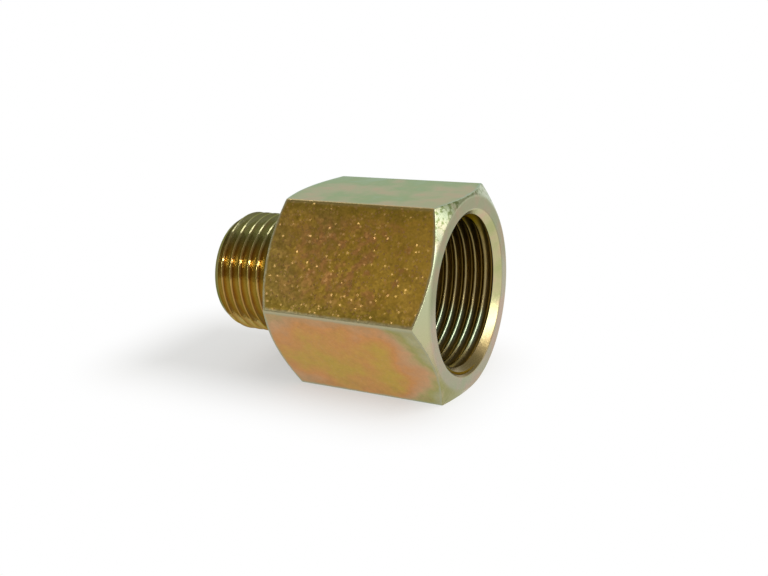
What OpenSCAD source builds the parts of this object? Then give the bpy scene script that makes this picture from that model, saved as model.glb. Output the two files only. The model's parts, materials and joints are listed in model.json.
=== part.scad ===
// Hydraulic adapter fitting, turned from one piece of hexagon bar.
// A threaded stud points along -X and a larger threaded socket opens along +X, on one axis.
// The origin is on that axis, in the plane of the shoulder that the stud stands on.
// The hexagon lies on one of its flats, so +Z is square to that flat. All sizes are in millimetres.

/* [Hexagon] */
// Distance across the hexagon's flats, the spanner size
hex_across_flats = 32; // [30:0.5:46]
// Length of the hexagon along the axis
hex_length = 29.3; // [27:0.1:60]
// Radius on the hexagon's six long edges
hex_edge_radius = 0.5; // [0.1:0.05:2]
// How far the flat ring on each end face stays inside the flats
face_inset = 0.3; // [0.1:0.05:1.5]
// Angle of the turned corner chamfers, measured from the end face
corner_chamfer_angle = 30; // [15:1:45]

/* [Threads] */
// Threads per inch, the same on the stud and in the socket
threads_per_inch = 14; // [11:1:19]
// Plain walls at the thread diameters, or true helical threads
thread_form = "plain"; // [plain, helical]

/* [Stud] */
// Outer diameter of the stud's thread
stud_thread_diameter = 20.955; // [19.5:0.005:26]
// Length of the stud from the shoulder to its end
stud_length = 14.7; // [9:0.1:30]
// Angle of the lead chamfer at the stud's end, measured from the axis
stud_chamfer_angle = 30; // [20:1:60]
// Width of the relief groove between the thread and the shoulder
relief_width = 3.4; // [2.6:0.1:6]
// Diameter at the bottom of the relief groove
relief_diameter = 18.2; // [16:0.1:18.6]
// Angle of the groove's side towards the thread, measured from the axis
relief_side_angle = 45; // [35:1:75]
// Radius at the foot of the shoulder
relief_corner_radius = 0.6; // [0.1:0.05:0.8]

/* [Socket] */
// Largest diameter of the socket's thread, at its roots
socket_thread_diameter = 26.441; // [24:0.001:27.1]
// Depth of the socket's straight wall, from the end face
socket_depth = 20; // [12:0.5:21]
// Diameter of the countersink at the socket's mouth
countersink_diameter = 27.2; // [26.6:0.1:28.6]
// Angle of the countersink, from side to side
countersink_angle = 90; // [70:5:120]
// Radius on the edge between the countersink and the flat ring
mouth_edge_radius = 0.6; // [0.1:0.05:0.8]
// Angle of the drill point at the socket's bottom, from side to side
drill_point_angle = 118; // [90:2:150]

/* [Flow bore] */
// Diameter of the bore that joins both ends
flow_diameter = 12; // [6:0.5:14]
// Diameter of the cone seat where it opens in the stud's end face
seat_diameter = 16; // [14.5:0.1:17]
// Angle of the cone seat, from side to side
seat_angle = 60; // [40:2:90]

/* [Hidden] */

finish_colour = [0.66, 0.56, 0.32];
curve_steps = 96;

// Thread form with flanks at 55 degrees, cut off by a sixth of the sharp height at crest and root
thread_pitch = 25.4 / threads_per_inch;
sharp_height = thread_pitch / (2 * tan(55 / 2));
thread_depth = sharp_height * 2 / 3;

stud_radius = stud_thread_diameter / 2;
stud_root_radius = stud_radius - thread_depth;
socket_root_radius = socket_thread_diameter / 2;
socket_radius = socket_root_radius - thread_depth;
flow_radius = flow_diameter / 2;
seat_radius = seat_diameter / 2;
countersink_radius = countersink_diameter / 2;
relief_radius = relief_diameter / 2;

hex_flat_radius = hex_across_flats / 2;
hex_corner_radius = hex_flat_radius / cos(30);
face_radius = hex_flat_radius - face_inset;
// Cutters run past the faces that they open by this much
overcut = 1;
// Places along the stud's thread, counted from the shoulder
stud_chamfer_length = thread_depth / tan(stud_chamfer_angle);
// Where the crests of each helix cross the +Y side: from the shoulder, and from the socket's mouth
stud_thread_start = -0.39;
socket_thread_start = -2.5;

// Turned forms are drawn as [radius, place along the axis] and then laid along +X
module turned() {
    rotate([0, 90, 0])
        rotate_extrude($fn = curve_steps)
            children();
}

// Regular hexagon with flats at the top and bottom and a true arc on every corner
module hexagon_section() {
    arc_centre = hex_corner_radius - hex_edge_radius / cos(30);
    union() {
        polygon([
            for (corner = [0:60:300], side = [-30, 30])
                arc_centre * [cos(corner), sin(corner)]
                    + hex_edge_radius * [cos(corner + side), sin(corner + side)]
        ]);
        for (corner = [0:60:300])
            rotate(corner)
                translate([arc_centre, 0])
                    circle(r = hex_edge_radius, $fn = curve_steps);
    }
}

// Outline that the lathe leaves on the hexagon: a flat ring at each end, then the corner chamfer
module chamfer_section() {
    rim_radius = hex_corner_radius + overcut;
    rise = (rim_radius - face_radius) * tan(corner_chamfer_angle);
    polygon([
        [0, 0],
        [face_radius, 0],
        [rim_radius, rise],
        [rim_radius, hex_length - rise],
        [face_radius, hex_length],
        [0, hex_length]
    ]);
}

module hexagon() {
    intersection() {
        rotate([90, 0, 90])
            linear_extrude(height = hex_length)
                hexagon_section();
        turned() chamfer_section();
    }
}

// Bottom of the relief groove, with a radius at the foot of the shoulder
module relief_section() {
    side_length = (stud_radius - relief_radius) / tan(relief_side_angle);
    over_length = overcut / tan(relief_side_angle);
    difference() {
        polygon([
            [relief_radius, 0],
            [relief_radius, side_length - relief_width],
            [stud_radius + overcut, -relief_width - over_length],
            [stud_radius + overcut, 0]
        ]);
        difference() {
            translate([relief_radius - relief_corner_radius, -relief_corner_radius])
                square(2 * relief_corner_radius);
            translate([relief_radius + relief_corner_radius, -relief_corner_radius])
                circle(r = relief_corner_radius, $fn = curve_steps);
            translate([relief_radius + relief_corner_radius, -2 * relief_corner_radius])
                square(4 * relief_corner_radius);
        }
    }
}

// Stud with its lead chamfer and relief groove; its root runs into the hexagon by the overcut
module stud_section() {
    difference() {
        polygon([
            [0, overcut],
            [relief_radius, overcut],
            [relief_radius, 0],
            [stud_radius, 0],
            [stud_radius, stud_chamfer_length - stud_length],
            [stud_root_radius, -stud_length],
            [0, -stud_length]
        ]);
        relief_section();
    }
}

// Everything that is drilled or bored: rounded mouth, countersink, socket, drill point, flow bore and cone seat
module hollow_section() {
    mouth_slope = tan(countersink_angle / 2);
    // Length that the rounded edge takes off the flat ring, and off the countersink
    mouth_edge_length = mouth_edge_radius * tan(45 - countersink_angle / 4);
    mouth_radius = countersink_radius + mouth_edge_length;
    seat_slope = tan(seat_angle / 2);
    point_length = (socket_radius - flow_radius) / tan(drill_point_angle / 2);
    socket_bottom = hex_length - socket_depth;
    polygon([
        [0, hex_length + overcut],
        [mouth_radius, hex_length + overcut],
        [mouth_radius, hex_length],
        [countersink_radius, hex_length],
        [socket_radius, hex_length - (countersink_radius - socket_radius) / mouth_slope],
        [socket_radius, socket_bottom],
        [flow_radius, socket_bottom - point_length],
        [flow_radius, (seat_radius - flow_radius) / seat_slope - stud_length],
        [seat_radius + overcut * seat_slope, -stud_length - overcut],
        [0, -stud_length - overcut]
    ]);
    difference() {
        polygon([
            [countersink_radius, hex_length],
            [mouth_radius, hex_length],
            [mouth_radius, hex_length - mouth_edge_radius],
            [
                countersink_radius - mouth_edge_length * sin(countersink_angle / 2),
                hex_length - mouth_edge_length * cos(countersink_angle / 2)
            ]
        ]);
        translate([mouth_radius, hex_length - mouth_edge_radius])
            circle(r = mouth_edge_radius, $fn = curve_steps);
    }
}

// Radius of a thread with its crest at turn 0, for a fraction of a turn from 0 to 1
function thread_radius(crest_radius, turn) =
    let (from_crest = min(turn, 1 - turn),
         sharp_radius = crest_radius + sharp_height / 6 - 2 * sharp_height * from_crest)
    max(crest_radius - thread_depth, min(crest_radius, sharp_radius));

// Right-hand helical rod along +X whose crests cross the +Y side at the given place
module helical_rod(crest_radius, from, to, crest_place) {
    turns = (to - from) / thread_pitch;
    translate([from, 0, 0])
        rotate([90, 0, 90])
            rotate((from - crest_place) / thread_pitch * 360)
                linear_extrude(height = to - from, twist = -360 * turns, slices = ceil(48 * turns))
                    polygon([
                        for (step = [0:curve_steps - 1])
                            let (turn = step / curve_steps)
                            thread_radius(crest_radius, turn) * [cos(360 * turn), sin(360 * turn)]
                    ]);
}

// Hexagonal adapter with a threaded stud on one end and a threaded socket in the other
module adapter_body() {
    color(finish_colour)
        difference() {
            union() {
                hexagon();
                if (thread_form == "helical")
                    intersection() {
                        turned() stud_section();
                        union() {
                            helical_rod(stud_radius, -stud_length - overcut, -relief_width / 2, stud_thread_start);
                            translate([-relief_width, 0, 0])
                                rotate([0, 90, 0])
                                    cylinder(r = stud_radius, h = relief_width + overcut, $fn = curve_steps);
                        }
                    }
                else
                    turned() stud_section();
            }
            turned() hollow_section();
            if (thread_form == "helical")
                helical_rod(
                    socket_root_radius,
                    hex_length - socket_depth,
                    hex_length + overcut,
                    hex_length + socket_thread_start - thread_pitch / 2
                );
        }
}

adapter_body();
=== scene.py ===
# %% [markdown]
# A hydraulic adapter is turned from a length of hexagon bar: a threaded stud on one end, a larger threaded
# socket in the other, and a bore through both. It is then zinc plated and dipped in a yellow passivate,
# which leaves a golden skin with green and pink in it. This lesson models that one piece the way a lathe
# makes it, with a blank and cutters, and then spends most of its lines on the plating.
#
# The packed CAD model gives the sizes and the place. Its solid has plain walls where the threads are, so one
# detailed mesh with true helical threads stands in for it.

# %% Load the frame
import json
from math import cos, pi, radians, sin, tan

import bmesh
import bpy
from mathutils import Matrix, Vector


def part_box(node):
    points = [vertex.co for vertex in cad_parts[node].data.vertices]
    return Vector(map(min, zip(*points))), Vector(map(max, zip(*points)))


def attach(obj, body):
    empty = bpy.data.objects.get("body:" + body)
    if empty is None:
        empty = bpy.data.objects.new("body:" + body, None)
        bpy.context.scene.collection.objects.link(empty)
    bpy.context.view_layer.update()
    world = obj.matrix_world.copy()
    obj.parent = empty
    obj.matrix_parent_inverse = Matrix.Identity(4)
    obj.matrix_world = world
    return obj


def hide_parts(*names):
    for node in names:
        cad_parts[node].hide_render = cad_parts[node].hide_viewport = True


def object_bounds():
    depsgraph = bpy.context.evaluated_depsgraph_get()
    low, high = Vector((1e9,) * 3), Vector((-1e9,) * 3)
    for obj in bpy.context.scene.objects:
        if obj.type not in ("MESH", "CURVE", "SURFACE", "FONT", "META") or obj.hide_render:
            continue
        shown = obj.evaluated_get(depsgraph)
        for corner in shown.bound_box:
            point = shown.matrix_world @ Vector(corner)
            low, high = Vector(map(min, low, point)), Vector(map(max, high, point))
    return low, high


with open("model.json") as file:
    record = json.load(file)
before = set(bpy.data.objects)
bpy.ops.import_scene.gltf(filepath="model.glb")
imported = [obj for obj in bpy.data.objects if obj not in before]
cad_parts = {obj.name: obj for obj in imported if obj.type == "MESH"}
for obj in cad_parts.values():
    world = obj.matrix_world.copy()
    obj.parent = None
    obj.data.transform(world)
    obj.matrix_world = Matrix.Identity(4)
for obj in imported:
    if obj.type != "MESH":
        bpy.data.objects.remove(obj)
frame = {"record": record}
cad_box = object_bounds()
print("the CAD box in metres:", [tuple(round(c, 4) for c in corner) for corner in cad_box])

# %% [markdown]
# A piece this small is easier to think about in millimetres, so the mesh is modelled in them and scaled into
# metres once it is whole. The frame gives the outer sizes, and the record's mounts give the radii of both
# threads and of the bore, so that the mesh can't drift away from the solid. Smaller sizes that the solid has
# too, such as the relief groove's, stand where they are used.

# %% Sizes from the frame and the record
MM = 0.001
low, high = (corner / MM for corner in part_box("adapter_body"))
mount_sizes = {mount["name"]: mount["dims"] for mount in frame["record"]["mounts"]}

flat_radius = high.z
corner_radius = flat_radius / cos(radians(30))
hexagon_length = high.x
stud_length = -low.x
stud_radius = mount_sizes["stud_thread"]["r_mm"]
socket_radius = mount_sizes["socket_thread"]["r_mm"]
flow_radius = mount_sizes["flow_bore"]["r_mm"]
socket_depth = 20.0
print(f"hexagon {2 * flat_radius:.2f} across flats, {hexagon_length:.2f} long; stud {2 * stud_radius:.3f}")

# %% [markdown]
# Both threads are parallel pipe threads of 14 to the inch. Their flanks meet at 55 degrees, and a sixth of
# the sharp height is rounded away at the crests and the roots, so the depth is two thirds of that height.
# A bevel of one corner takes an offset along its sides, which is worked out here from that sixth.

# %% Thread form
pitch = 25.4 / 14
half_flank_angle = radians(55 / 2)
sharp_height = pitch / (2 * tan(half_flank_angle))
thread_depth = sharp_height * 2 / 3
stud_root_radius = stud_radius - thread_depth
socket_root_radius = socket_radius + thread_depth
depth_per_offset = 2 * cos(half_flank_angle) * (1 - cos(pi / 4))
thread_rounding = sharp_height / 6 / depth_per_offset
print(f"pitch {pitch:.3f}, depth {thread_depth:.3f}, stud root {2 * stud_root_radius:.2f}")

# %% [markdown]
# Every face of the part is plated, but a drawn flat, a turned face and the two threads take the plating
# differently. So there are four materials, empty for now, and every shape is made with the number of one of
# them. Booleans keep each face's material, and in the end the faces know how they were made.

# %% Four platings
FLAT, TURNED, STUD, TAPPED = range(4)
platings = [bpy.data.materials.new(name)
            for name in ("plated_flats", "plated_turned", "plated_stud", "plated_tapped")]
print("platings:", [plating.name for plating in platings])

# %% [markdown]
# Everything turned starts as a profile, a few points of (place along the axis, radius), which is spun round
# the X axis as the bar turns in the lathe. A point may carry a third number, its rounding: bevelling a
# vertex of a wire draws a small arc in its place, as a tool with a rounded tip does.

# %% Helper for profiles
ROUND_SEGMENTS = 6


def draw_profile(shape, corners):
    """Draws a wire through corners of (place, radius) or (place, radius, rounding)."""
    points = [shape.verts.new((corner[0], corner[1], 0)) for corner in corners]
    for start, end in zip(points, points[1:]):
        shape.edges.new((start, end))
    for point, corner in zip(points, corners):
        if len(corner) == 3:
            bmesh.ops.bevel(shape, geom=[point], offset=corner[2], offset_type="OFFSET",
                            segments=ROUND_SEGMENTS, profile=0.5, affect="VERTICES", material=-1)


print(f"a rounded corner has {ROUND_SEGMENTS} segments")

# %% [markdown]
# A spin leaves a skin that is open where the profile ends. Filling those holes makes the shape solid, which
# the Booleans need later, and it means that a profile needn't start at the axis. A spin may also leave a
# shape inside out, so its normals are recalculated last, when nothing is open any more.

# %% Helpers for closed shapes
STEPS = 192
# Corners that are nearer to each other than this, in millimetres, are one corner
TOUCHING = 0.001


def close_ends(shape):
    bmesh.ops.holes_fill(shape, edges=[edge for edge in shape.edges if edge.is_boundary], sides=0)


def make_object(shape, name, plating_number):
    """Makes a closed shape into an object whose faces all carry one plating."""
    bmesh.ops.recalc_face_normals(shape, faces=shape.faces)
    for face in shape.faces:
        face.material_index = plating_number
        face.smooth = True
    mesh = bpy.data.meshes.new(name)
    for plating in platings:
        mesh.materials.append(plating)
    shape.to_mesh(mesh)
    shape.free()
    piece = bpy.data.objects.new(name, mesh)
    bpy.context.scene.collection.objects.link(piece)
    print(f"{name}: {len(mesh.polygons)} faces")
    return piece


def lathe(name, corners, plating_number=TURNED):
    """Spins a profile all the way round the X axis and closes its ends."""
    shape = bmesh.new()
    draw_profile(shape, corners)
    bmesh.ops.spin(shape, geom=shape.verts[:] + shape.edges[:], cent=(0, 0, 0), axis=(1, 0, 0),
                   angle=2 * pi, steps=STEPS, use_merge=True)
    bmesh.ops.remove_doubles(shape, verts=shape.verts, dist=TOUCHING)
    close_ends(shape)
    return make_object(shape, name, plating_number)


# %% [markdown]
# Cutting and joining are Boolean modifiers, applied at once. The Manifold solver is quick and clean as long
# as every shape is closed. The tool is deleted afterwards, so only the part stays in the scene.

# %% Helper for cutting and joining


def combine(body, tool, operation):
    """Joins, cuts or intersects body with tool, and uses the tool up."""
    step = body.modifiers.new(operation, "BOOLEAN")
    step.operation, step.solver, step.object = operation, "MANIFOLD", tool
    with bpy.context.temp_override(object=body, active_object=body):
        bpy.ops.object.modifier_apply(modifier=step.name)
    bpy.data.objects.remove(tool)
    print(f"{operation.lower()}: {len(body.data.polygons)} faces")


# %% [markdown]
# The blank is a length of drawn hexagon bar, lying on a flat, with its corners on the Y axis. A cone with
# six segments and equal radii is that bar. Drawing leaves a small radius on its long edges, which is a
# bevel. The bar is a little longer than the hexagon at both ends, so that turning has something to take off.

# %% The hexagon bar
bar_edge_radius = 0.5
overlap = 1.0

shape = bmesh.new()
bmesh.ops.create_cone(shape, segments=6, radius1=corner_radius, radius2=corner_radius,
                      depth=hexagon_length + 2 * overlap, cap_ends=True)
bmesh.ops.rotate(shape, cent=(0, 0, 0), matrix=Matrix.Rotation(pi / 2, 3, "Y"), verts=shape.verts)
bmesh.ops.translate(shape, vec=(hexagon_length / 2, 0, 0), verts=shape.verts)
long_edges = [edge for edge in shape.edges if edge.calc_length() > hexagon_length]
bmesh.ops.bevel(shape, geom=long_edges, offset=bar_edge_radius * tan(radians(30)), offset_type="OFFSET",
                segments=4, profile=0.5, affect="EDGES", material=-1)
adapter = make_object(shape, "adapter_body_visual", FLAT)

# %% [markdown]
# Both ends of the hexagon are turned: a flat ring inside the flats, then a 30 degree chamfer that takes the
# corners off and leaves the curved ends of the flats. Drawing those curves by hand would be hard, but they
# come by themselves when the bar is intersected with one turned outline.

# %% Turned ends of the hexagon
face_inset = 0.3
face_radius = flat_radius - face_inset
corner_chamfer_slope = tan(radians(30))
rim_radius = corner_radius + overlap
chamfer_rise = (rim_radius - face_radius) * corner_chamfer_slope
ring_rounding = 0.1

combine(adapter, lathe("turned_outline", [
    (0, flow_radius),
    (0, face_radius, ring_rounding),
    (chamfer_rise, rim_radius),
    (hexagon_length - chamfer_rise, rim_radius),
    (hexagon_length, face_radius, ring_rounding),
    (hexagon_length, flow_radius),
]), "INTERSECT")

# %% [markdown]
# The arcs where the chamfers meet the flats are never quite sharp: the tumbling in the plating drum breaks
# them. A fine bevel there catches the light as a thin worn line. The arcs are found by their angle, because
# they are the only edges so far that turn by more than 40 degrees.

# %% Broken arcs
arc_rounding = 0.12
arc_angle = radians(40)

shape = bmesh.new()
shape.from_mesh(adapter.data)
arcs = [edge for edge in shape.edges if edge.calc_face_angle() > arc_angle]
print(f"arcs to break: {len(arcs)} edges, {sum(edge.calc_length() for edge in arcs):.0f} mm")
bmesh.ops.bevel(shape, geom=arcs, offset=arc_rounding, offset_type="OFFSET",
                segments=3, profile=0.5, affect="EDGES", material=-1)
shape.to_mesh(adapter.data)
shape.free()

# %% [markdown]
# A thread is one groove that climbs a pitch with each turn. The profile of one pitch, from middle to middle
# over a crest and a root, is spun a single turn while it moves along by a pitch. Copies of that turn, each a
# pitch further on, meet it exactly and are merged with it. Planes cut the rod to length, and it is closed.
# The crest's place on the +Y side is named, because it sets where the thread starts at the chamfer.

# %% Helper for threaded rods
TURN_STEPS = 144


def helical_rod(name, crest_radius, start, end, crest_place, crest_rounding, root_rounding, plating_number):
    """A right-hand threaded rod along X, cut off square at start and end."""
    middle = crest_radius + sharp_height / 6 - sharp_height / 2
    shape = bmesh.new()
    draw_profile(shape, [
        (-pitch / 4, middle),
        (0, middle + sharp_height / 2, *crest_rounding),
        (pitch / 2, middle - sharp_height / 2, *root_rounding),
        (3 * pitch / 4, middle),
    ])
    turns_before = int((crest_place - start) / pitch) + 2
    turns = turns_before + int((end - crest_place) / pitch) + 2
    bmesh.ops.translate(shape, vec=(crest_place - turns_before * pitch, 0, 0), verts=shape.verts)
    bmesh.ops.spin(shape, geom=shape.verts[:] + shape.edges[:], cent=(0, 0, 0), axis=(1, 0, 0),
                   dvec=(pitch / TURN_STEPS, 0, 0), angle=2 * pi, steps=TURN_STEPS, use_merge=False)
    one_turn = shape.verts[:] + shape.edges[:] + shape.faces[:]
    for number in range(1, turns):
        copy = bmesh.ops.duplicate(shape, geom=one_turn)["geom"]
        points = [part for part in copy if isinstance(part, bmesh.types.BMVert)]
        bmesh.ops.translate(shape, vec=(number * pitch, 0, 0), verts=points)
    bmesh.ops.remove_doubles(shape, verts=shape.verts, dist=2 * TOUCHING)
    for place, outwards in ((start, -1), (end, 1)):
        bmesh.ops.bisect_plane(shape, geom=shape.verts[:] + shape.edges[:] + shape.faces[:],
                               dist=1e-5, plane_co=(place, 0, 0), plane_no=(outwards, 0, 0),
                               clear_outer=True)
        close_ends(shape)
    return make_object(shape, name, plating_number)


# %% [markdown]
# The stud is turned first, with a lead chamfer at its end and a relief groove by the shoulder where the
# thread runs out. Intersecting it with the threaded rod cuts the thread as a die would, so the first and
# last crests fade into the chamfer and the groove. The blank's wall cuts the rod's sharp crests to size, and
# a plain sleeve joined to the rod keeps the thread out of the fillet at the shoulder.

# %% The stud
stud_chamfer_length = thread_depth / tan(radians(30))
relief_width = 3.4
relief_radius = 9.1
relief_side = stud_radius - relief_radius
fillet_radius = 0.6
core_radius = flow_radius + overlap
tip_rounding = 0.12
lead_rounding = 0.15
groove_edge_rounding = 0.1
groove_foot_rounding = 0.3
rod_end = -relief_width / 2
sleeve_radius = stud_radius + overlap
stud_crest_place = -0.39

stud = lathe("stud_blank", [
    (-stud_length, core_radius),
    (-stud_length, stud_root_radius, tip_rounding),
    (stud_chamfer_length - stud_length, stud_radius, lead_rounding),
    (-relief_width, stud_radius, groove_edge_rounding),
    (relief_side - relief_width, relief_radius, groove_foot_rounding),
    (0, relief_radius, fillet_radius - TOUCHING),
    (0, relief_radius + fillet_radius),
    (overlap, relief_radius + fillet_radius),
    (overlap, core_radius),
], STUD)
rod = helical_rod("stud_rod", stud_radius, -stud_length - overlap, rod_end, stud_crest_place,
                  [], [thread_rounding], STUD)
sleeve = lathe("sleeve", [(rod_end - 0.1, sleeve_radius), (1.5 * overlap, sleeve_radius)], STUD)
combine(rod, sleeve, "UNION")
combine(stud, rod, "INTERSECT")
combine(adapter, stud, "UNION")

# %% [markdown]
# All that is drilled and bored is one cutter: the countersink at the mouth with its edge broken, the wall of
# the socket, the cone that a drill leaves at its bottom, the flow bore, and the 60 degree seat in the stud's
# end. The socket is bored a hundredth of a millimetre small, so that the tap cuts its wall everywhere and
# doesn't just graze it.

# %% The bores and the seat
countersink_radius = 13.6
mouth_edge_radius = 0.6
mouth_rounding = mouth_edge_radius * tan(radians(45 / 2))
bored_radius = socket_radius - 0.01
countersink_rounding = 0.2
bore_rounding = 0.3
seat_radius = 8.0
seat_rounding = 0.12
drill_point_length = (bored_radius - flow_radius) / tan(radians(118 / 2))
seat_length = (seat_radius - flow_radius) / tan(radians(60 / 2))
socket_bottom = hexagon_length - socket_depth

combine(adapter, lathe("bored_hollow", [
    (hexagon_length + overlap, countersink_radius + mouth_rounding),
    (hexagon_length, countersink_radius + mouth_rounding),
    (hexagon_length, countersink_radius, mouth_rounding - TOUCHING),
    (hexagon_length - (countersink_radius - bored_radius), bored_radius, countersink_rounding),
    (socket_bottom, bored_radius, bore_rounding),
    (socket_bottom - drill_point_length, flow_radius, bore_rounding),
    (seat_length - stud_length, flow_radius, bore_rounding),
    (-stud_length, seat_radius, seat_rounding - TOUCHING),
    (-stud_length, seat_radius + seat_rounding),
    (-stud_length - overlap, seat_radius + seat_rounding),
]), "DIFFERENCE")

# %% [markdown]
# A second threaded rod is the tap. What is a crest on the tap becomes a root in the socket, so its crests
# sit half a pitch from the socket's. Both are rounded on the tap, which leaves the fine bright lines that
# the photograph shows down in the bore. It stops before the bottom, as a tap has to, and it cuts a little
# into the countersink, where the groove comes out.

# %% The tapped thread
thread_length = 17.5
first_crest_depth = 2.6
socket_crest_place = hexagon_length - first_crest_depth

combine(adapter, helical_rod("tap", socket_root_radius, hexagon_length - thread_length,
                             hexagon_length + overlap, socket_crest_place - pitch / 2,
                             [thread_rounding], [thread_rounding], TAPPED),
        "DIFFERENCE")

# %% [markdown]
# Where two cuts cross, the Booleans leave a few corners less than a micrometre apart, and those are merged.
# Then the finished mesh goes into metres. Smooth shading rounds the turned faces, edges sharper than 25
# degrees stay crisp, and weighted normals keep the large flats flat beside their small bevels. The count of
# open edges has to be 0, or the shape would not print or cut cleanly.

# %% Into metres, and shading
SHARP_ANGLE = radians(25)

shape = bmesh.new()
shape.from_mesh(adapter.data)
bmesh.ops.remove_doubles(shape, verts=shape.verts, dist=TOUCHING / 2)
bmesh.ops.scale(shape, vec=(MM, MM, MM), verts=shape.verts)
bmesh.ops.recalc_face_normals(shape, faces=shape.faces)
for edge in shape.edges:
    edge.smooth = edge.calc_face_angle(0) < SHARP_ANGLE
for face in shape.faces:
    face.smooth = True
open_edges = sum(not edge.is_manifold for edge in shape.edges)
triangles = sum(len(face.verts) - 2 for face in shape.faces)
print(f"adapter: {triangles} triangles, {open_edges} open edges, {shape.calc_volume() / MM**3:.0f} cubic mm")
shape.to_mesh(adapter.data)
shape.free()

weighted = adapter.modifiers.new("weighted_normals", "WEIGHTED_NORMAL")
weighted.keep_sharp = True

# %% [markdown]
# Shader maths gets unreadable as a list of nodes and links. A small class wraps one output socket, and each
# Python operator on it adds the Math node that it stands for, so that 1 - wear_and_sheen is a node too.

# %% Helper for shader maths


class Value:
    """One output in a node tree. Sums and products of it add Math nodes."""

    def __init__(self, finish, socket):
        self.finish, self.socket = finish, socket

    def maths(self, operation, *values):
        return self.finish.node("ShaderNodeMath", {"operation": operation}, dict(enumerate(values)))

    def __add__(self, other):
        return self.maths("ADD", self, other)

    def __sub__(self, other):
        return self.maths("SUBTRACT", self, other)

    def __rsub__(self, other):
        return self.maths("SUBTRACT", other, self)

    def __mul__(self, other):
        return self.maths("MULTIPLY", self, other)

    def __truediv__(self, other):
        return self.maths("DIVIDE", self, other)

    def __pow__(self, other):
        return self.maths("POWER", self, other)

    def __abs__(self):
        return self.maths("ABSOLUTE", self)

    __radd__, __rmul__ = __add__, __mul__


print("operators that take a number on their left:", [name for name in vars(Value) if name[:3] == "__r"])

# %% [markdown]
# The finish wraps the tree of a material or of the world. Its method node makes any kind of node from its
# settings and the values or links of its sockets, and outputs is for a node with several results. Four more
# methods are the nodes that come up again and again: a smooth step between two values, soft noise, a mix of
# two colours, and a ramp of colours.

# %% Helper for node trees


class Finish:
    """A material, or the world, whose nodes are made by calls."""

    def __init__(self, owner):
        owner.use_nodes = True
        self.owner, self.tree = owner, owner.node_tree
        self.tree.nodes.clear()

    def node(self, kind, settings, inputs, output=0):
        made = self.tree.nodes.new(kind)
        for name, setting in settings.items():
            if name == "stops":
                self.set_stops(made.color_ramp, *setting)
            else:
                setattr(made, name, setting)
        for name, value in inputs.items():
            if isinstance(value, Value):
                self.tree.links.new(value.socket, made.inputs[name])
            else:
                made.inputs[name].default_value = value
        return Value(self, made.outputs[output]) if made.outputs else made

    def outputs(self, kind, settings, inputs, names):
        """Makes a node and returns several of its outputs."""
        made = self.node(kind, settings, inputs).socket.node
        return [Value(self, made.outputs[name]) for name in names]

    @staticmethod
    def set_stops(ramp, interpolation, stops):
        ramp.interpolation = interpolation
        while len(ramp.elements) > 1:
            ramp.elements.remove(ramp.elements[-1])
        for number, (place, colour) in enumerate(stops):
            stop = ramp.elements[0] if number == 0 else ramp.elements.new(place)
            stop.position, stop.color = place, (*colour, 1)

    def step(self, value, start, end, low=0.0, high=1.0):
        """Goes smoothly from low to high as value goes from start to end."""
        return self.node("ShaderNodeMapRange", {"interpolation_type": "SMOOTHSTEP"},
                         {"Value": value, "From Min": start, "From Max": end, "To Min": low, "To Max": high})

    def noise(self, vector, scale, detail=2.0, roughness=0.5):
        return self.node("ShaderNodeTexNoise", {},
                         {"Vector": vector, "Scale": scale, "Detail": detail, "Roughness": roughness})

    def blend(self, amount, first, second, mode="MIX"):
        """Mixes two colours."""
        first, second = ((*c, 1) if isinstance(c, tuple) else c for c in (first, second))
        return self.node("ShaderNodeMix", {"data_type": "RGBA", "blend_type": mode},
                         {0: amount, 6: first, 7: second}, output=2)

    def ramp(self, value, stops, interpolation="LINEAR"):
        """The colour at value, from stops of (place, colour)."""
        return self.node("ShaderNodeValToRGB", {"stops": (interpolation, stops)}, {"Fac": value})


print("methods of a finish:", [name for name in vars(Finish) if not name.startswith("_")])

# %% [markdown]
# The four platings share one way to find places on the part: Object coordinates in millimetres, the radius
# from the axis, and the turn round it. Patterns made from these stay put on the metal, from wherever the
# part is seen.

# %% Helper for places on the part


class Place:
    """Where a shading point is on the adapter, in millimetres."""

    def __init__(self, finish):
        metres = finish.node("ShaderNodeTexCoord", {}, {}, output="Object")
        self.point = finish.node("ShaderNodeVectorMath", {"operation": "SCALE"},
                                 {0: metres, "Scale": 1 / MM})
        self.x, self.y, self.z = finish.outputs("ShaderNodeSeparateXYZ", {}, {0: self.point}, "XYZ")
        self.radius = (self.y * self.y + self.z * self.z) ** 0.5
        self.turn = self.z.maths("ARCTAN2", self.z, self.y)


print("patterns are in millimetres, so a noise of scale 2 has two bumps a millimetre")

# %% [markdown]
# Zinc plates as tiny crystals. Under a lamp a few of them face it and glint, while the rest lean elsewhere.
# A Voronoi pattern stands for the crystals: every cell has its own random colour, which is used as the
# direction that its face leans in. The shader is a bare metal, since the passivate is too thin to have a
# gloss of its own. At a grazing angle its film pales towards green, which is the shader's specular tint.

# %% Helpers for crystals and metal
grazing_tint = (0.52, 0.81, 0.83)


def crystals(finish, place, cells_per_mm):
    """For each crystal of the plating: a random direction, its middle, and the distance from it."""
    return finish.outputs("ShaderNodeTexVoronoi", {}, {"Vector": place.point, "Scale": cells_per_mm},
                          ("Color", "Position", "Distance"))


def leaning_normal(finish, direction, lean):
    """Turns each crystal's face a little, so that some of them catch a lamp."""
    offset = finish.node("ShaderNodeVectorMath", {"operation": "SUBTRACT"},
                         {0: direction, 1: (0.5, 0.5, 0.5)})
    scaled = finish.node("ShaderNodeVectorMath", {"operation": "SCALE"}, {0: offset, "Scale": lean})
    normal = finish.node("ShaderNodeNewGeometry", {}, {}, output="Normal")
    tilted = finish.node("ShaderNodeVectorMath", {"operation": "ADD"}, {0: scaled, 1: normal})
    return finish.node("ShaderNodeVectorMath", {"operation": "NORMALIZE"}, {0: tilted})


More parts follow.
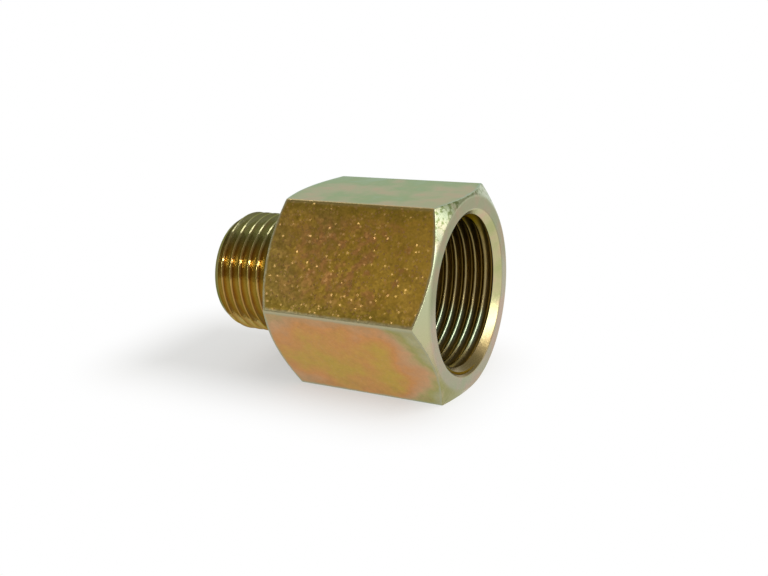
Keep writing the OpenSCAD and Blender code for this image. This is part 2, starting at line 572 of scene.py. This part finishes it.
def metal(finish, colour, roughness, normal, tint=grazing_tint):
    shader = finish.node("ShaderNodeBsdfPrincipled", {}, {
        "Base Color": colour, "Metallic": 1.0, "Roughness": roughness,
        "Specular Tint": (*tint, 1), "Normal": normal})
    finish.node("ShaderNodeOutputMaterial", {}, {"Surface": shader})
    print(f"{finish.owner.name}: {len(finish.tree.nodes)} nodes")


# %% [markdown]
# The passivate is a film so thin that its colour comes from its thickness, as on a soap bubble. Thin film
# looks grey-green, and as it thickens it goes through pink and orange to gold and then to a dark olive. So a
# single number, the film's thickness from 0 to 1, can stand for all of those colours, and a colour ramp
# turns it into the metal's colour. Where two thicknesses meet, the bands between them come by themselves.

# %% Colours of the film by its thickness
film_colours = [
    (0.10, (0.44, 0.40, 0.22)),
    (0.22, (0.39, 0.345, 0.12)),
    (0.30, (0.50, 0.36, 0.165)),
    (0.38, (0.59, 0.335, 0.17)),
    (0.47, (0.61, 0.315, 0.145)),
    (0.56, (0.635, 0.29, 0.098)),
    (0.64, (0.61, 0.315, 0.085)),
    (0.72, (0.57, 0.35, 0.070)),
    (0.79, (0.54, 0.35, 0.065)),
    (0.86, (0.45, 0.29, 0.045)),
    (0.92, (0.38, 0.24, 0.045)),
    (1.00, (0.30, 0.205, 0.048)),
]
# Pale edges: partly worn plating, partly a painted reflection in their rounding
worn_and_sheen_colour = (0.42, 0.40, 0.26)
reddish_colour = (0.42, 0.20, 0.075)
olive_colour = (0.22, 0.17, 0.025)
glint_colour = (0.60, 0.37, 0.17)
print(f"the film has {len(film_colours)} colours, from thin to thick")

# %% [markdown]
# The dip drains off each flat in its own way. In the photograph the side flat is thick, speckled gold, the
# one below it has bands of pink, orange and green, and the top one is an even grey-green. The side flat's
# thick, dark film is partly its own colour and partly painted shade, for the dim room that it mirrors. Six
# numbers a flat say so. They are kept in two ramps with constant steps, where the three channels of a
# colour are simply three numbers. A ramp can't hold a negative number, so a slope of 0.5 or a thinning of
# 0.1 means none.

# %% How the film lies on each flat
NO_THINNING, NO_SLOPE = 0.1, 0.5
# Thickness at the mouth's end, thinning at the edges, and thickening towards the stud
flat_films_and_shade = [
    (0 / 6, (0.65, 0.46, 0.03)),
    (1 / 6, (0.50, 0.35, 0.30)),
    (2 / 6, (0.65, 0.40, 0.10)),
    (3 / 6, (0.60, 0.40, 0.20)),
    (4 / 6, (0.25, 0.05, 0.00)),
    # The side flat: its thick, dark film here is partly painted shade
    (5 / 6, (0.83, 0.13, 0.17)),
]
# How much the film drifts, how mottled it is, and its slope across the flat
flat_mottles = [
    (0 / 6, (0.46, 0.26, 0.58)),
    (1 / 6, (0.60, 0.60, 0.50)),
    (2 / 6, (0.60, 0.60, 0.50)),
    (3 / 6, (0.60, 0.60, 0.50)),
    (4 / 6, (0.62, 0.03, 0.55)),
    (5 / 6, (0.35, 1.00, 0.50)),
]


def turned_into_sixths(place):
    """Which flat a point is on, from 0 to 1 in sixths, and how far across that flat it lies."""
    sixths = place.turn / radians(60) + 3
    flat = sixths.maths("FLOOR", sixths)
    offset = (sixths - flat - 0.5) * radians(60)
    return (flat + 0.5) / 6, place.radius * offset.maths("SINE", offset)


print("half a flat is", round(corner_radius / 2, 2), "mm wide")

# %% [markdown]
# The thickness of a point is worked out from its flat's numbers and from its distance to the edges, because
# the film is thinner there, and thinnest in a narrow band along the arc at the mouth. Slow noise moves the
# bands about, so that they don't follow the edges like contour lines. The hexagon's ends are arcs, so their
# distance is measured from the chamfer's cone.

# %% Thickness of the film
half_flat_across = 9.2
DRIFTS_PER_MM = 0.16
# For each thin band: its edge, how far the drift moves it, its width, and its share of the thinning
edge_bands = [
    ("mouth", 4, 9, 1.00),
    ("mouth", 2, 3, 0.30),
    ("stud", 4, 8, 0.35),
    ("long", 3, 6, 0.42),
]


def edges_of_flats(place, across):
    """Distances of a point from the arc at the mouth, the arc at the stud, and the nearest long edge."""
    chamfer_depth = (place.radius - face_radius) * corner_chamfer_slope
    return {
        "mouth": hexagon_length - chamfer_depth - place.x,
        "stud": place.x - chamfer_depth,
        "long": corner_radius / 2 - abs(across),
    }


def film_on_flats(finish, place, edges, across, flat, patches, mottles):
    """The film's thickness on the flats, from 0 to 1."""
    drifting, mottling, slope = mottles
    drift = finish.noise(place.point, DRIFTS_PER_MM, 3.0, 0.55) - 0.5
    near_edges = sum(finish.step(edges[name] + drift * wander, width, 0, 0, share)
                     for name, wander, width, share in edge_bands)
    thickness, thinning, thickening = finish.outputs(
        "ShaderNodeSeparateColor", {}, {0: finish.ramp(flat, flat_films_and_shade, "CONSTANT")}, range(3))
    from_mouth = (hexagon_length - place.x) / hexagon_length
    return (thickness - (thinning - NO_THINNING) * near_edges + thickening * from_mouth + drift * drifting
            + patches * mottling * 0.3 + (slope - NO_SLOPE) * across / half_flat_across)


print("a slope of 0.6 thickens the film by 0.1 from the middle of a flat to its edge")

# %% [markdown]
# Then the flats get the small things. In the middle of a mottled flat the thickest film turns reddish in
# patches, along its long edges it stays olive, and speckles make all of it lighter and darker. The edges and
# arcs are painted pale, though unevenly, and the upper edges less: partly worn plating and partly a painted
# reflection of their small rounding. Last come the glints: on the mottled flats one crystal in three, and
# more towards the mouth, shows a small round facet, which is paler, smoother and leans more than the rest.
# So the front lamp finds a different few of them from every side.

# %% The drawn flats
PATCHES_PER_MM = 0.7
GRAINS_PER_MM = 3.0
CRYSTALS_PER_MM = 2.2


def plate_flats():
    finish = Finish(platings[FLAT])
    place = Place(finish)
    flat, across = turned_into_sixths(place)
    edges = edges_of_flats(place, across)
    mouth_edge, stud_edge, long_edge = edges.values()
    mottles = finish.outputs("ShaderNodeSeparateColor", {},
                             {0: finish.ramp(flat, flat_mottles, "CONSTANT")}, range(3))
    mottling = mottles[1]
    patches = finish.noise(place.point, PATCHES_PER_MM, 3.0, 0.6) - 0.5
    grain = finish.noise(place.point, GRAINS_PER_MM, 1.0) - 0.5
    film = film_on_flats(finish, place, edges, across, flat, patches, mottles)

    colour = finish.ramp(film, film_colours)
    blotches = finish.step(finish.noise(place.point, PATCHES_PER_MM, 3.0), 0.40, 0.65)
    in_middle = finish.step(place.x, 0, 9) * finish.step(long_edge, 1, 5)
    redness = blotches * finish.step(film, 0.84, 0.93) * in_middle * mottling
    colour = finish.blend(redness * 0.7, colour, reddish_colour)
    rim = finish.step(long_edge + patches * 6, 3.5, 0.5) * mottling
    colour = finish.blend(rim * 0.55, colour, olive_colour)
    shade = 1 + (patches + grain * 0.6) * mottling
    grey = finish.node("ShaderNodeCombineXYZ", {}, {0: shade, 1: shade, 2: shade})
    colour = finish.blend(1.0, colour, grey, "MULTIPLY")
    # Painted reflection and wear: edges and arcs are painted paler, the upper edges less
    lower_edges_paler = finish.step(place.z, 14, 8, 0.3, 0.8)
    edge_wear_and_sheen = finish.step(long_edge + patches * 0.6, 0.8, 0.2) * lower_edges_paler
    arc_edge = mouth_edge.maths("MINIMUM", mouth_edge, stud_edge)
    arc_wear_and_highlight = finish.step(arc_edge + patches * 0.5, 0.55, 0.15) * 0.8
    wear_and_sheen = edge_wear_and_sheen.maths("MAXIMUM", edge_wear_and_sheen, arc_wear_and_highlight)
    colour = finish.blend(wear_and_sheen, colour, worn_and_sheen_colour)

    direction, middle, distance = crystals(finish, place, CRYSTALS_PER_MM)
    chance = finish.node("ShaderNodeTexWhiteNoise", {}, {"Vector": middle})
    towards_mouth = place.x / hexagon_length
    chosen = finish.step(chance + towards_mouth * 0.12, 0.62, 0.74)
    facet = finish.step(distance, 0.56, 0.26)
    glint = chosen * facet * (1 - wear_and_sheen) * mottling
    colour = finish.blend(glint * 0.5, colour, glint_colour)
    metal(finish, colour, 0.36 - glint * 0.09,
          leaning_normal(finish, direction, 0.08 * mottling + glint * 0.20))


plate_flats()

# %% [markdown]
# A turned face is smoother than a drawn one, and its film is thin and pale: rosy grey on the ring and straw
# in the countersink, each with colours that come from slow noise. The ring's upper half is painted a little
# darker, as shade. The chamfer is coloured by height, from olive below to mint above, and the darker olive
# below is painted shade, for the part's shadow on the floor that it mirrors. It has rosy patches and, near
# the top, dark freckles, and the countersink is painted brown towards its bottom.

# %% The turned surfaces
ring_colours = [(0.32, (0.35, 0.36, 0.22)), (0.46, (0.39, 0.355, 0.24)), (0.60, (0.46, 0.335, 0.24))]
# Painted shade: the lowest stop darkens the chamfer's lower side
chamfer_colours_and_shade = [(0.10, (0.31, 0.295, 0.10)), (0.42, (0.51, 0.49, 0.28)), (0.78, (0.46, 0.52, 0.34))]
# Painted shade: multiplies the ring's upper half darker
upper_ring_painted_shade = (0.76, 0.81, 0.66)
rosy_colour = (0.58, 0.46, 0.33)
countersink_colours = [(0.35, (0.43, 0.44, 0.20)), (0.50, (0.51, 0.47, 0.25)), (0.65, (0.56, 0.42, 0.26))]
countersink_bottom_colour = (0.24, 0.17, 0.07)
freckle_colour = (0.17, 0.22, 0.06)
turned_tint = (0.95, 0.97, 0.95)
FINE_CRYSTALS_PER_MM = 4.0


def plate_turned():
    finish = Finish(platings[TURNED])
    place = Place(finish)
    drift = finish.noise(place.point, 0.25, 3.0)
    on_chamfer = finish.step(place.radius, face_radius - 0.5, face_radius + 0.5)
    in_countersink = (finish.step(place.radius, countersink_radius + 0.1, countersink_radius - 0.1)
                      * finish.step(place.x, 0.2, 0.8))
    freckles = finish.step(finish.noise(place.point, 1.3), 0.50, 0.62) * finish.step(place.z, 10, 13)
    near_bottom = finish.step(place.z, -8, -11.5)

    height = place.z / (2 * flat_radius) + 0.5
    rosiness = finish.step(drift, 0.46, 0.66) * 0.6
    # Painted shade: the chamfer darker below, the ring darker on its upper half
    chamfer_colour = finish.blend(rosiness, finish.ramp(height, chamfer_colours_and_shade), rosy_colour)
    ring_colour = finish.blend(finish.step(place.z, 0, 4), finish.ramp(drift, ring_colours),
                               upper_ring_painted_shade, "MULTIPLY")
    colour = finish.blend(on_chamfer, ring_colour, chamfer_colour)
    colour = finish.blend(on_chamfer * freckles * 0.8, colour, freckle_colour)
    colour = finish.blend(in_countersink, colour, finish.ramp(drift, countersink_colours))
    colour = finish.blend(in_countersink * near_bottom * 0.9, colour, countersink_bottom_colour)
    direction = crystals(finish, place, FINE_CRYSTALS_PER_MM)[0]
    metal(finish, colour, 0.26, leaning_normal(finish, direction, 0.03), turned_tint)


plate_turned()

# %% [markdown]
# In a thread the colour changes from crest to root, and in the socket its darker roots are painted shade.
# How far a point lies below the crests is its radius alone, so a ramp over that depth colours the whole
# thread. The threads were cut with oil, which left the crests the smoothest of all, and so the lamps draw
# bright lines along them. Light that reaches the roots has been from flank to flank, and each time the metal
# coloured it. The tint at grazing angles is therefore darker than elsewhere, and each thread brings its own.

# %% Helper for threads
def plate_thread(finish, place, colour, roughness, tint):
    """Finely crystalline metal with a tint of its own at grazing angles."""
    direction = crystals(finish, place, FINE_CRYSTALS_PER_MM)[0]
    metal(finish, colour, roughness, leaning_normal(finish, direction, 0.05), tint)


def thread_colour_at_depth(finish, place, depth, colours):
    """The colour at a depth below the crests, from 0 at a crest to 1 at a root; the socket's roots carry
    painted shade.
    """
    drift = finish.noise(place.point, 0.5, 2.0) - 0.5
    return finish.ramp(depth + drift * 0.5, colours)


print(f"the depth goes from 0 to 1 in {thread_depth:.2f} mm")

# %% [markdown]
# The stud's thread is golden brown, with copper on its crests and the upper half of its flanks. The green
# cast on its top is a painted highlight colour, for the pale green shine of the upper crests. The outer half
# of the lead chamfer is painted a darker greyish olive, as shade.

# %% The stud's thread
stud_colours = [
    (0.00, (0.37, 0.215, 0.065)),
    (0.25, (0.45, 0.295, 0.075)),
    (0.60, (0.52, 0.41, 0.15)),
    (1.00, (0.44, 0.36, 0.12)),
]
painted_green_sheen = (0.30, 0.33, 0.20)
lead_painted_shade = (0.25, 0.21, 0.13)
stud_tint = (0.42, 0.47, 0.28)


def plate_stud():
    finish = Finish(platings[STUD])
    place = Place(finish)
    depth = (place.radius - stud_radius) / -thread_depth
    colour = thread_colour_at_depth(finish, place, depth, stud_colours)
    # Painted highlight colour: green on top of the stud
    colour = finish.blend(finish.step(place.z, 5.5, 8.5) * 0.75, colour, painted_green_sheen)
    from_end = place.x + stud_length
    # Painted shade: the outer half of the lead chamfer is darker
    colour = finish.blend(finish.step(from_end, 1.4, 0.8), colour, lead_painted_shade)
    plate_thread(finish, place, colour, 0.13 + depth * 0.1, stud_tint)


plate_stud()

# %% [markdown]
# The socket's thread is painted darker than the stud's, and darker still in its roots and on its upper
# side: painted shade inside the hole. Its crests are paler on the lower half, tan at mid height and mint in
# a band further down: painted light, and a painted reflection of the light from above. Its brown roots are
# rough. Here the depth is counted outwards, as the crests are the innermost lines.

# %% The socket's thread
# Painted shade: the colours darken towards the roots
tapped_colours_and_root_shade = [
    (0.00, (0.20, 0.155, 0.06)),
    (0.20, (0.31, 0.235, 0.085)),
    (0.50, (0.31, 0.215, 0.050)),
    (1.00, (0.22, 0.140, 0.026)),
]
# Painted shade on the upper side, painted light and a painted reflection on the crests
upper_painted_shade = (0.07, 0.055, 0.013)
tan_crest_painted_light = (0.28, 0.22, 0.10)
mint_crest_painted_reflection = (0.33, 0.38, 0.25)
tapped_tint = (0.26, 0.24, 0.08)


def plate_tapped():
    finish = Finish(platings[TAPPED])
    place = Place(finish)
    depth = (place.radius - bored_radius) / thread_depth
    colour = thread_colour_at_depth(finish, place, depth, tapped_colours_and_root_shade)
    # Painted shade: the upper side is darker
    colour = finish.blend(finish.step(place.z, 3, 9) * 0.6, colour, upper_painted_shade)
    crests = finish.step(depth, 0.80, 0.25)
    # Painted light on the lower crests, and a painted reflection in a band further down
    lit_lower_half = finish.step(place.z, 4, -4)
    colour = finish.blend(crests * lit_lower_half, colour, tan_crest_painted_light)
    painted_reflection_band = finish.step(place.z, -5.5, -8) * finish.step(place.z, -12, -10.5)
    colour = finish.blend(crests * painted_reflection_band, colour, mint_crest_painted_reflection)
    plate_thread(finish, place, colour, 0.20 + depth * 0.25, tapped_tint)


plate_tapped()
for number, plating in enumerate(platings):
    print(plating.name, sum(face.material_index == number for face in adapter.data.polygons), "faces")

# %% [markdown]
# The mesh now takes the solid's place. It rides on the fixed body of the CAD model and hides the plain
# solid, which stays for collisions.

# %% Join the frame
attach(adapter, "root")
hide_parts("adapter_body")

# %% [markdown]
# The adapter lies on one of its flats on a white table. The camera looks down on it from the socket's side,
# so close that the far end is visibly smaller, and it leans a little. These numbers come from fitting the
# model's corners to the photograph's. The camera's three axes are worked out from its two angles, and then
# turned by the roll.

# %% Camera
image_width_mm = 36.0
focal_length = 44.042
azimuth, elevation, roll = radians(28.68), radians(18.02), radians(-3.223)
aim = Vector((13.41, 0, -0.738)) * MM
distance = 157.94 * MM

back = Vector((sin(azimuth) * cos(elevation), -cos(azimuth) * cos(elevation), sin(elevation)))
level = Vector((cos(azimuth), sin(azimuth), 0))
right = level * cos(roll) + back.cross(level) * sin(roll)
up = back.cross(right)

camera_data = bpy.data.cameras.new("camera")
camera_data.lens, camera_data.sensor_width = focal_length, image_width_mm
camera_data.sensor_fit = "HORIZONTAL"
camera_data.clip_start, camera_data.clip_end = 0.01, 20
camera = bpy.data.objects.new("camera", camera_data)
turned = Matrix((right, up, back)).transposed().to_4x4()
camera.matrix_world = Matrix.Translation(aim + back * distance) @ turned
bpy.context.scene.collection.objects.link(camera)
bpy.context.scene.camera = camera
print("camera at", [round(c, 4) for c in camera.matrix_world.translation])

# %% [markdown]
# The studio is an even white world. To the camera and to the metal its strength is 1, which is white. Its
# light on the part and the floor is weaker, so that the lamps can shape them. The Light Path node tells the
# two uses apart.

# %% World
AMBIENT_LEVEL = 0.6

world = bpy.data.worlds.new("studio")
bpy.context.scene.world = world
sky = Finish(world)
camera_ray, glossy_ray, transmission_ray = sky.outputs(
    "ShaderNodeLightPath", {}, {}, ("Is Camera Ray", "Is Glossy Ray", "Is Transmission Ray"))
seen = camera_ray + glossy_ray + transmission_ray
seen = seen.maths("MINIMUM", seen, 1)
sky.node("ShaderNodeOutputWorld", {}, {"Surface": sky.node(
    "ShaderNodeBackground", {}, {"Color": (1, 1, 1, 1),
                                 "Strength": sky.step(seen, 0, 1, AMBIENT_LEVEL, 1.0)})})
print("light from the world:", AMBIENT_LEVEL)

# %% [markdown]
# The floor is a diffuse surface in a warm white, mixed with plain white light. The surface keeps the part's
# shadow and lends the lower flat its colour. Further out the mix goes over to the light alone, as paper
# fades in a product photograph. The fade runs with the distance from a rectangle under the part, which lies
# more to the stud's side, where the shadow is longer. Seen by the camera the fade starts at once, and seen
# in the metal it starts later.

# %% Floor
floor_colour = (0.86, 0.855, 0.82, 1)
part_middle = (-3.75, -1)
part_half_size = (23.75, 8)
# Where each fade starts and ends, in millimetres, and how white the floor is there, from 0 to 1
camera_fade = (-4, 20, 0.40, 1)
metal_fade = (5, 40, 0.70, 1)
floor_half_side = 1.5


def beyond(coordinate, middle, half_size):
    """How far a point is outside a band, in millimetres."""
    outside = abs(coordinate - middle) - half_size
    return outside.maths("MAXIMUM", outside, 0)


floor_finish = Finish(bpy.data.materials.new("floor"))
place = Place(floor_finish)
camera_ray, glossy_ray = floor_finish.outputs("ShaderNodeLightPath", {}, {},
                                              ("Is Camera Ray", "Is Glossy Ray"))
floor_shader = floor_finish.node("ShaderNodeBsdfDiffuse", {}, {"Color": floor_colour})
white_shader = floor_finish.node("ShaderNodeEmission", {}, {"Color": (1, 1, 1, 1), "Strength": 1.0})
beside, before = (beyond(*band) for band in zip((place.x, place.y), part_middle, part_half_size))
reach = (beside * beside + before * before) ** 0.5
faded = (floor_finish.step(reach, *camera_fade) * camera_ray
         + floor_finish.step(reach, *metal_fade) * glossy_ray)
floor_finish.node("ShaderNodeOutputMaterial", {}, {"Surface": floor_finish.node(
    "ShaderNodeMixShader", {}, {0: faded, 1: floor_shader, 2: white_shader})})

shape = bmesh.new()
bmesh.ops.create_grid(shape, x_segments=1, y_segments=1, size=floor_half_side)
bmesh.ops.translate(shape, vec=(0, 0, cad_box[0].z), verts=shape.verts)
floor_mesh = bpy.data.meshes.new("floor")
shape.to_mesh(floor_mesh)
shape.free()
floor = bpy.data.objects.new("floor", floor_mesh)
floor.data.materials.append(floor_finish.owner)
bpy.context.scene.collection.objects.link(floor)
print(f"the floor is {-cad_box[0].z / MM:.1f} mm below the axis")

# %% [markdown]
# Metal looks like what it mirrors, so its lamps are placed by reflection: for a highlight in the photograph,
# the view from the camera is mirrored in the surface there, and a lamp is put in that direction. Each is
# given as a direction from the part, a distance and a size in metres, and a level against a white wall. The
# energy follows from the level and the area, so a lamp can be resized without changing its brightness.

# %% Helper for lamps
centre = (cad_box[0] + cad_box[1]) / 2


def aimed(direction, distance):
    """A place and a turn that looks back at the part from that direction."""
    direction = Vector(direction).normalized()
    turn = direction.to_track_quat("Z", "Y").to_matrix().to_4x4()
    return Matrix.Translation(centre + direction * distance) @ turn


def lamp(name, direction, distance, width, height, level):
    """A softbox whose face is level times as bright as a white wall."""
    data = bpy.data.lights.new(name, "AREA")
    data.shape, data.size, data.size_y = "RECTANGLE", width, height
    data.energy = level * pi * width * height
    thing = bpy.data.objects.new(name, data)
    thing.matrix_world = aimed(direction, distance)
    thing.visible_camera = False
    bpy.context.scene.collection.objects.link(thing)
    print(f"{name}: {data.energy:.2f} W")


# %% [markdown]
# Two softboxes shine on the mouth and its chamfer, and a third from the side lights the countersink. A small
# hard lamp draws the bright worn line on the near arc. The front lamp is the smallest, which keeps its
# glints small, both on the crystals and in a row along the stud's crests. The last one hangs overhead and
# brings up the top of the stud.

# %% Lamps
lamp("mouth_softbox", (0.87, -0.08, 0.47), 0.6, 0.25, 0.34, 3.1)
lamp("corner_softbox", (0.80, 0.49, 0.34), 0.6, 0.16, 0.12, 1.8)
lamp("side_lamp", (0.70, 0.15, 0.70), 0.6, 0.12, 0.25, 6.0)
lamp("edge_lamp", (0.545, -0.73, 0.40), 0.6, 0.05, 0.05, 25)
lamp("front_lamp", (-0.587, -0.684, 0.434), 0.5, 0.02, 0.02, 54)
lamp("overhead_lamp", (-0.585, 0.21, 0.78), 0.6, 0.20, 0.06, 3.8)

# %% [markdown]
# In an all-white room polished metal looks white. A photographer stands grey cards round it, so that it has
# something darker to mirror. The large front card gives the side flat its depth, and the small one behind
# takes the shine off the ring. Only reflections see them: they throw no shadow and no light.

# %% Helper for grey cards


def card(name, direction, distance, half_side, colour):
    finish = Finish(bpy.data.materials.new(name))
    finish.node("ShaderNodeOutputMaterial", {}, {"Surface": finish.node(
        "ShaderNodeEmission", {}, {"Color": (*colour, 1), "Strength": 1.0})})
    shape = bmesh.new()
    bmesh.ops.create_grid(shape, x_segments=1, y_segments=1, size=half_side,
                          matrix=aimed(direction, distance))
    mesh = bpy.data.meshes.new(name)
    shape.to_mesh(mesh)
    shape.free()
    thing = bpy.data.objects.new(name, mesh)
    thing.data.materials.append(finish.owner)
    thing.visible_camera = thing.visible_diffuse = thing.visible_shadow = False
    bpy.context.scene.collection.objects.link(thing)
    print(f"{name}: {2 * half_side:.2f} m square")


card("front_card", (-0.45, -0.72, 0.53), 0.75, 0.9, (0.35, 0.31, 0.235))
card("back_card", (0.48, 0.76, 0.42), 0.5, 0.18, (0.40, 0.40, 0.33))

# %% [markdown]
# The Standard view shows a colour as it is written, with no film look over it.

bpy.context.scene.view_settings.view_transform = "Standard"
